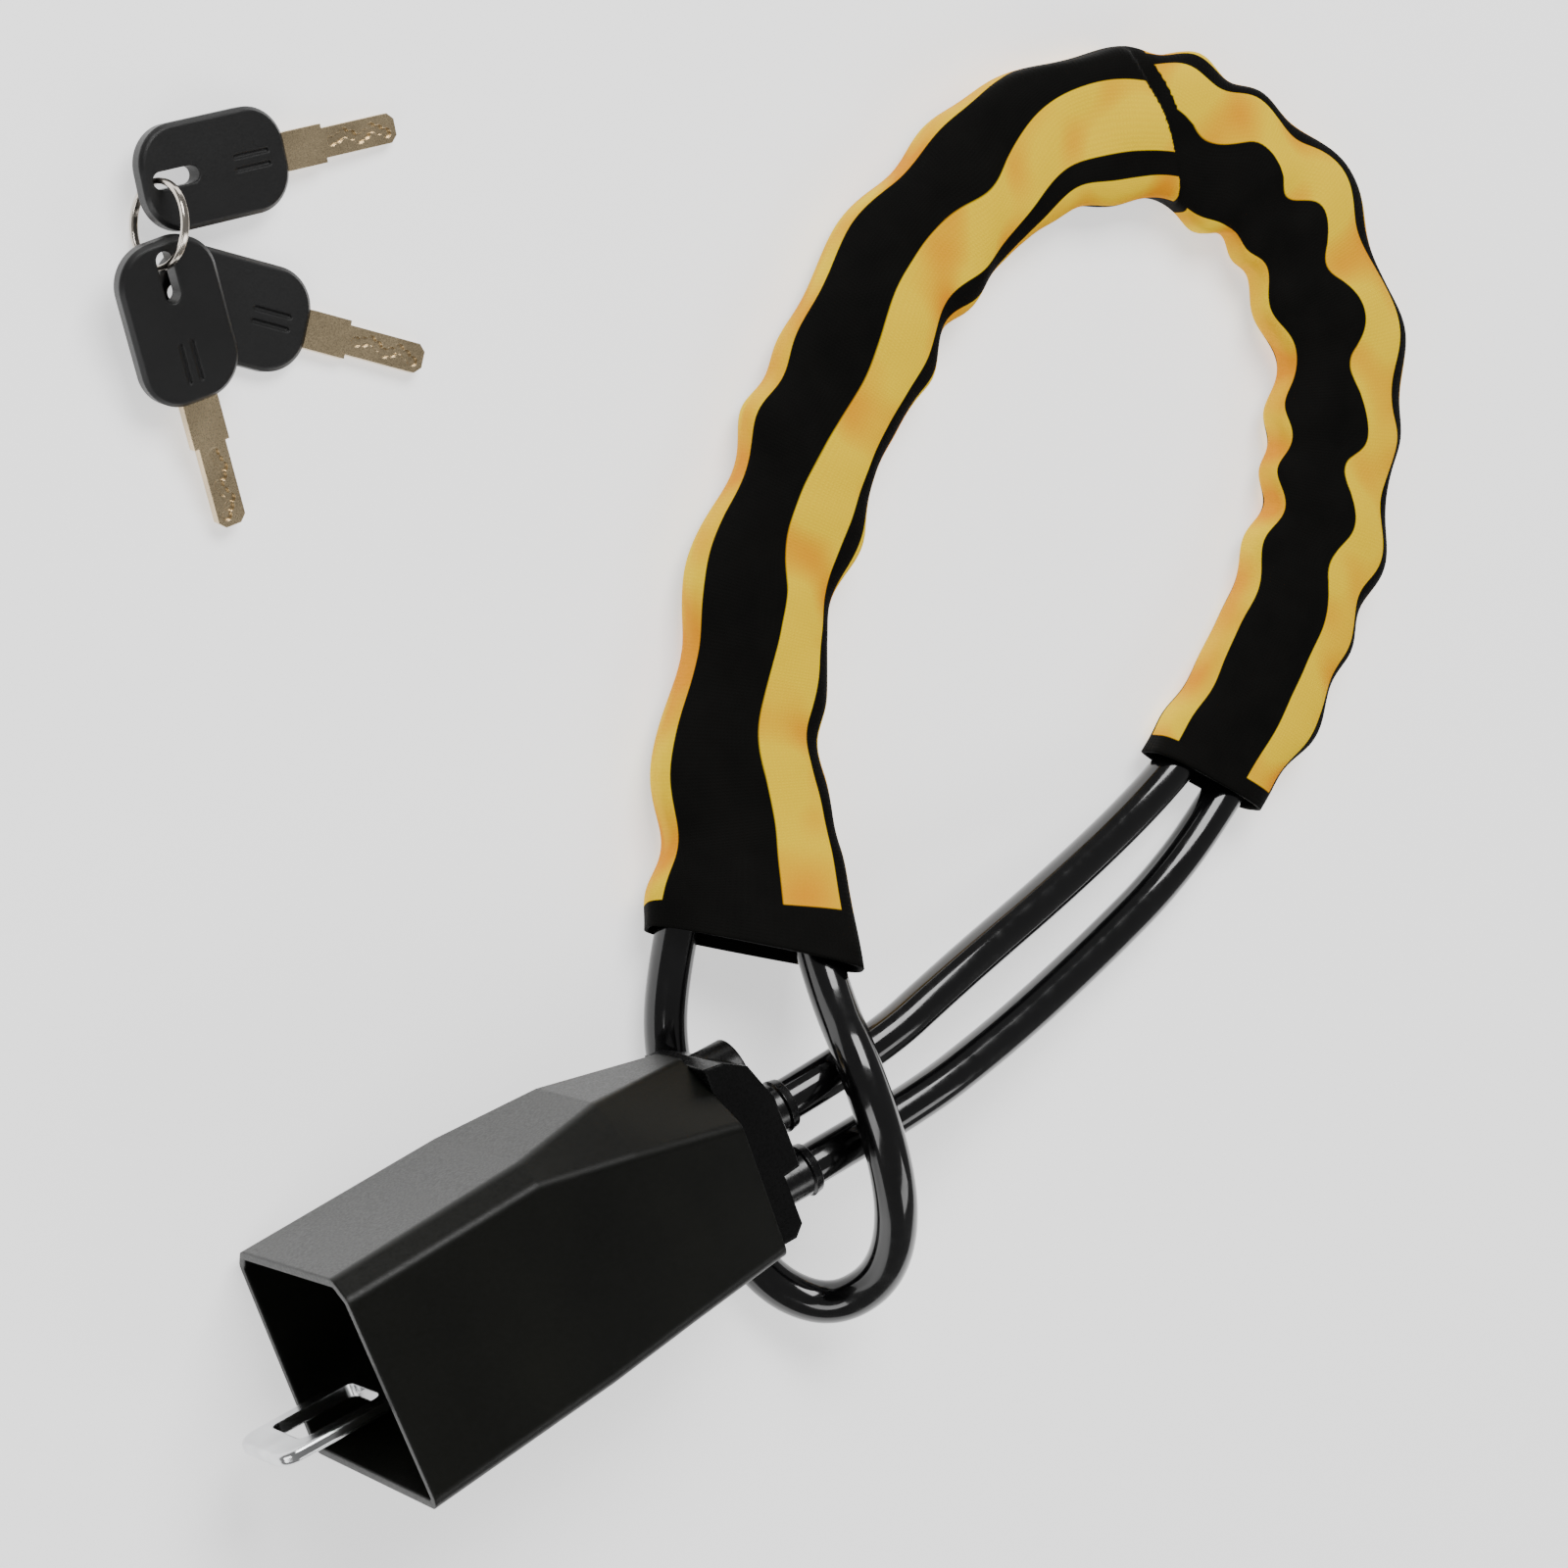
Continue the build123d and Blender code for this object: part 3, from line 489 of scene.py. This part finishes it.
# ---- materials of the CAD pieces ----
COAT = coated("powder_coat", (0.0022, 0.0024, 0.0016), (0.0050, 0.0052, 0.0036), 0.38)
CAP_COAT = coated("cap_coat", (0.002, 0.002, 0.002), (0.004, 0.004, 0.004), 0.30)
CHROME = metal("tongue_plate", (0.82, 0.83, 0.84), 0.14, 0.05, 0.5)
STEEL = metal("turned_steel", (0.5, 0.5, 0.51), 0.3)
DARK_STEEL = metal("blackened_steel", (0.05, 0.05, 0.052), 0.38)
PLATED = metal("cylinder_plate", (0.68, 0.68, 0.69), 0.22)
BRASS = metal("plug_brass", (0.78, 0.6, 0.3), 0.25)
NICKEL = metal("ring_nickel", (0.66, 0.6, 0.53), 0.16, 0.05, 0.2)
BLADE = metal("key_metal", (0.76, 0.6, 0.37), 0.3, 0.08, 0.25)
CASTING = metal("zinc_casting", (0.3, 0.3, 0.31), 0.5)
BUSHING = plastic("bushing_plastic", (0.0025, 0.0025, 0.0027), 0.24, 1.2, 0.1)
KEY_PLASTIC = plastic("key_plastic", (0.0035, 0.0035, 0.0036), 0.40, 3.0, 0.3, 0.7)
PAD = plastic("pad_rubber", (0.012, 0.012, 0.012), 0.7)
LOOKS = {
    COAT: ["housing_shell"],
    CAP_COAT: ["rear_cap"],
    CHROME: ["tongue"],
    STEEL: ["tongue_rivets", "cable_ferrules", "barrel_cam", "pusher", "pusher_pin"],
    DARK_STEEL: ["cap_screws", "shell_screws", "anchor_pins", "plug_clip", "cam_screw"],
    PLATED: ["cylinder_body"],
    BRASS: ["plug", "wafers"],
    NICKEL: ["key_ring"],
    BLADE: ["key_blade_1", "key_blade_2", "key_blade_3"],
    CASTING: ["lock_block"],
    BUSHING: ["exit_bushings"],
    KEY_PLASTIC: ["key_head_1", "key_head_2", "key_head_3"],
    PAD: ["pusher_pad"],
}
for look, names in LOOKS.items():
    for name in names:
        for slot in nodes[name].material_slots:
            slot.material = look

# ---- table and light ----
HALF = 3.0
FLOOR_GLOW = 0.95
SKY = 0.22
WHITE = (1, 1, 1, 1)

floor_mesh = bpy.data.meshes.new("floor")
corners = [(-HALF, -HALF, 0), (HALF, -HALF, 0), (HALF, HALF, 0), (-HALF, HALF, 0)]
floor_mesh.from_pydata(corners, [], [(0, 1, 2, 3)])
floor = bpy.data.objects.new("floor", floor_mesh)
scene.collection.objects.link(floor)
floor_shade = Shade("pale_floor", rough=0.55)
floor_colour = floor_shade.mix(floor_shade.noise(0.01), (0.9, 0.9, 0.9, 1), (0.93, 0.93, 0.93, 1))
floor_shade.put(floor_shade.main, "Base Color", floor_colour)
floor_shade.put(floor_shade.main, "Emission Color", WHITE)
floor_shade.put(floor_shade.main, "Emission Strength", FLOOR_GLOW)
floor.data.materials.append(floor_shade.material)


def softbox(name, spot, target, size, watts):
    """A rectangular area light that looks at target."""
    data = bpy.data.lights.new(name, "AREA")
    data.shape = "RECTANGLE"
    data.size, data.size_y = size
    data.energy = watts
    lamp = bpy.data.objects.new(name, data)
    lamp.location = spot
    lamp.rotation_euler = (Vector(target) - Vector(spot)).to_track_quat("-Z", "Y").to_euler()
    scene.collection.objects.link(lamp)


MIDDLE = (0.12, 0.08, 0)
softbox("key_light", (0.5, 1.1, 1.3), MIDDLE, (1.0, 0.8), 30)
softbox("left_light", (-1.1, -0.2, 0.9), MIDDLE, (0.5, 0.9), 6)
softbox("fill_light", (0.6, -1.2, 1.0), MIDDLE, (1.1, 0.5), 6)

world = bpy.data.worlds.new("studio")
world.use_nodes = True
sky = world.node_tree.nodes["Background"]
sky.inputs["Color"].default_value = WHITE
sky.inputs["Strength"].default_value = SKY
scene.world = world
